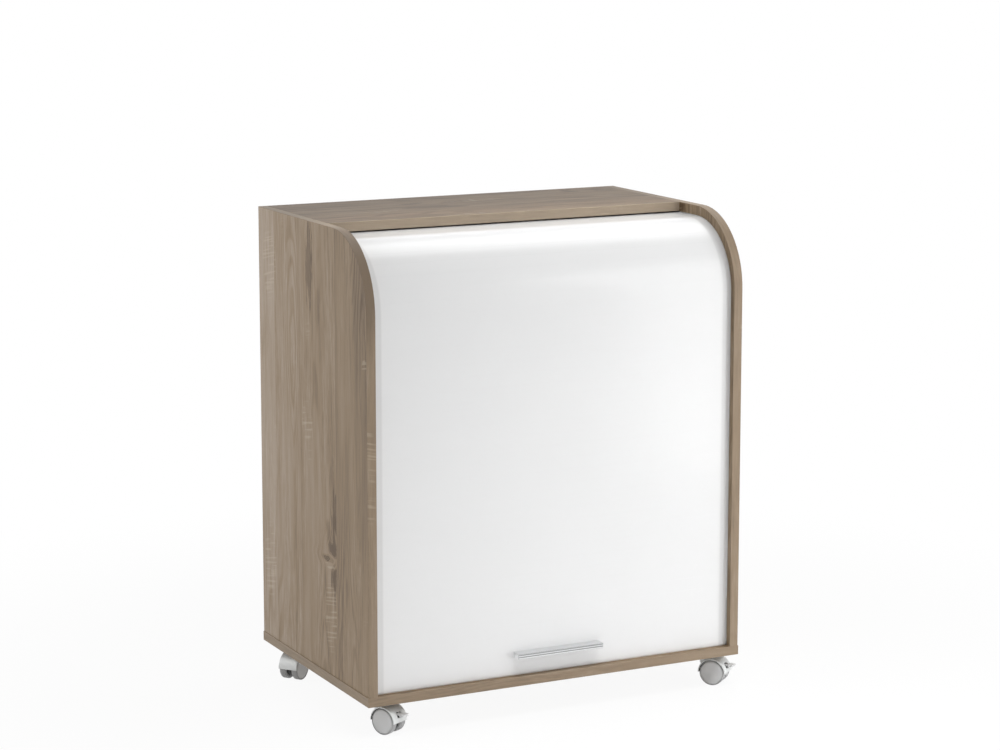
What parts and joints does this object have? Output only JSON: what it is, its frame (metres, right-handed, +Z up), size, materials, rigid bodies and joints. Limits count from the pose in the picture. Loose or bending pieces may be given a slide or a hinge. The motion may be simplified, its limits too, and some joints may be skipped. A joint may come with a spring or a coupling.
{
  "type": "computer desk",
  "caption": "Computer desk as a mobile cabinet: rounded side panels, a slatted shutter that rolls up over a work shelf and bays, bar handle, braked castors.",
  "frame": {"origin": "on the floor, in the middle of the footprint", "axes": "+Z up, the shutter faces -Y, +X to the right of someone facing the shutter"},
  "size_m": [0.7988, 0.5242, 0.934],
  "materials": {
    "oak_board": "matt melamine with a sawn oak print",
    "oak_edging": "matt edging with an oak print",
    "back_board": "matt hardboard",
    "shutter_white": "high gloss white",
    "track_plastic": "satin",
    "felt": "felt",
    "handle_aluminium": "satin anodised",
    "zinc_steel": "bright zinc",
    "dowel_wood": "plain beech",
    "grommet_plastic": "satin",
    "castor_silver": "silver-grey satin",
    "castor_black": "satin",
    "wheel_grey": "light grey satin",
    "brake_grey": "light grey satin"
  },
  "bodies": {
    "carcass": {"side_panel_left": "oak_board", "side_panel_right": "oak_board", "side_edge_band_left": "oak_edging", "side_edge_band_right": "oak_edging", "bottom_panel": "oak_board", "bottom_edge_band": "oak_edging", "top_panel": "oak_board", "top_edge_band": "oak_edging", "back_panel": "back_board", "inner_back_panel": "back_board", "work_shelf": "oak_board", "lower_divider": "oak_board", "loose_shelf": "oak_board", "shutter_track_left": "track_plastic", "shutter_track_right": "track_plastic", "cable_grommets": "grommet_plastic", "shelf_pegs": "zinc_steel", "cam_bolts": "zinc_steel", "cam_discs": "zinc_steel", "wood_dowels": "dowel_wood", "confirmat_screws": "zinc_steel", "back_screws": "zinc_steel", "shutter_front_slats": "shutter_white", "shutter_upper_slats": "shutter_white", "castor_plates": "zinc_steel", "castor_kingpins": "zinc_steel", "castor_screws": "zinc_steel"},
    "shutter": {"shutter_rail": "shutter_white", "rail_felt": "felt", "rail_shoes": "track_plastic", "shutter_handle": "handle_aluminium", "handle_screws": "zinc_steel"},
    "castor_front_left": {"castor_core_front_left": "castor_black", "castor_hood_front_left": "castor_silver", "castor_axle_front_left": "zinc_steel", "brake_pin_front_left": "zinc_steel"},
    "wheel_front_left_inner": {"castor_wheel_front_left_inner": "wheel_grey"},
    "wheel_front_left_outer": {"castor_wheel_front_left_outer": "wheel_grey"},
    "brake_front_left": {"brake_lever_front_left": "brake_grey"},
    "castor_front_right": {"castor_core_front_right": "castor_black", "castor_hood_front_right": "castor_silver", "castor_axle_front_right": "zinc_steel", "brake_pin_front_right": "zinc_steel"},
    "wheel_front_right_inner": {"castor_wheel_front_right_inner": "wheel_grey"},
    "wheel_front_right_outer": {"castor_wheel_front_right_outer": "wheel_grey"},
    "brake_front_right": {"brake_lever_front_right": "brake_grey"},
    "castor_rear_left": {"castor_core_rear_left": "castor_black", "castor_hood_rear_left": "castor_silver", "castor_axle_rear_left": "zinc_steel"},
    "wheel_rear_left_inner": {"castor_wheel_rear_left_inner": "wheel_grey"},
    "wheel_rear_left_outer": {"castor_wheel_rear_left_outer": "wheel_grey"},
    "castor_rear_right": {"castor_core_rear_right": "castor_black", "castor_hood_rear_right": "castor_silver", "castor_axle_rear_right": "zinc_steel"},
    "wheel_rear_right_inner": {"castor_wheel_rear_right_inner": "wheel_grey"},
    "wheel_rear_right_outer": {"castor_wheel_rear_right_outer": "wheel_grey"}
  },
  "joints": [
    {"name": "shutter_slide", "type": "slide", "parent": "carcass", "child": "shutter", "axis": [0, 0, 1], "range_m": [0, 0.595], "deforming": ["shutter_front_slats"]},
    {"name": "castor_swivel_front_left", "type": "hinge", "parent": "carcass", "child": "castor_front_left", "pos_m": [-0.351, -0.20687, 0.0595], "axis": [0, 0, 1], "continuous": true},
    {"name": "wheel_spin_front_left_inner", "type": "hinge", "parent": "castor_front_left", "child": "wheel_front_left_inner", "pos_m": [-0.34255, -0.22276, 0.025], "axis": [0.8829, 0.4695, 0], "continuous": true},
    {"name": "wheel_spin_front_left_outer", "type": "hinge", "parent": "castor_front_left", "child": "wheel_front_left_outer", "pos_m": [-0.34255, -0.22276, 0.025], "axis": [0.8829, 0.4695, 0], "continuous": true},
    {"name": "brake_press_front_left", "type": "hinge", "parent": "castor_front_left", "child": "brake_front_left", "pos_m": [-0.33504, -0.23689, 0.037], "axis": [0.8829, 0.4695, 0], "range_deg": [0, 15]},
    {"name": "castor_swivel_front_right", "type": "hinge", "parent": "carcass", "child": "castor_front_right", "pos_m": [0.351, -0.20687, 0.0595], "axis": [0, 0, 1], "continuous": true},
    {"name": "wheel_spin_front_right_inner", "type": "hinge", "parent": "castor_front_right", "child": "wheel_front_right_inner", "pos_m": [0.36257, -0.22066, 0.025], "axis": [0.766, 0.6428, 0], "continuous": true},
    {"name": "wheel_spin_front_right_outer", "type": "hinge", "parent": "castor_front_right", "child": "wheel_front_right_outer", "pos_m": [0.36257, -0.22066, 0.025], "axis": [0.766, 0.6428, 0], "continuous": true},
    {"name": "brake_press_front_right", "type": "hinge", "parent": "castor_front_right", "child": "brake_front_right", "pos_m": [0.37285, -0.23292, 0.037], "axis": [0.766, 0.6428, 0], "range_deg": [0, 15]},
    {"name": "castor_swivel_rear_left", "type": "hinge", "parent": "carcass", "child": "castor_rear_left", "pos_m": [-0.351, 0.19013, 0.0595], "axis": [0, 0, 1], "continuous": true},
    {"name": "wheel_spin_rear_left_inner", "type": "hinge", "parent": "castor_rear_left", "child": "wheel_rear_left_inner", "pos_m": [-0.36518, 0.17905, 0.025], "axis": [0.6157, -0.788, 0], "continuous": true},
    {"name": "wheel_spin_rear_left_outer", "type": "hinge", "parent": "castor_rear_left", "child": "wheel_rear_left_outer", "pos_m": [-0.36518, 0.17905, 0.025], "axis": [0.6157, -0.788, 0], "continuous": true},
    {"name": "castor_swivel_rear_right", "type": "hinge", "parent": "carcass", "child": "castor_rear_right", "pos_m": [0.351, 0.19013, 0.0595], "axis": [0, 0, 1], "continuous": true},
    {"name": "wheel_spin_rear_right_inner", "type": "hinge", "parent": "castor_rear_right", "child": "wheel_rear_right_inner", "pos_m": [0.36518, 0.17905, 0.025], "axis": [0.6157, 0.788, 0], "continuous": true},
    {"name": "wheel_spin_rear_right_outer", "type": "hinge", "parent": "castor_rear_right", "child": "wheel_rear_right_outer", "pos_m": [0.36518, 0.17905, 0.025], "axis": [0.6157, 0.788, 0], "continuous": true}
  ]
}
